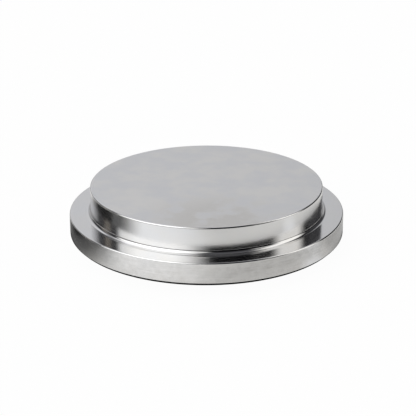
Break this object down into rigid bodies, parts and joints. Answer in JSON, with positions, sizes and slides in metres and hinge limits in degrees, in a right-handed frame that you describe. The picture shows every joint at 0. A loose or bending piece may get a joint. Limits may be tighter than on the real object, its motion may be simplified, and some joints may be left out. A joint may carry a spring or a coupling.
{
  "type": "bevel seat end cap",
  "caption": "Solid turned end cap for a bevel seat union: a flat disc neck, a rim with a ledge for the union nut, and a bevelled nose that seals in the ferrule's seat.",
  "frame": {"origin": "centre of the nose's flat face, on the turning axis, where the cap rests on a surface", "axes": "+Z along the turning axis, out of the union, from the nose to the neck's flat face; X and Y are any two directions square to it, as the part is round"},
  "size_m": [0.06, 0.06, 0.0131],
  "materials": {
    "stainless_steel": "satin on the flat faces, polished on the neck and the ledge, finely brushed round the rim"
  },
  "bodies": {
    "root": {"end_cap": "stainless_steel"}
  },
  "joints": []
}
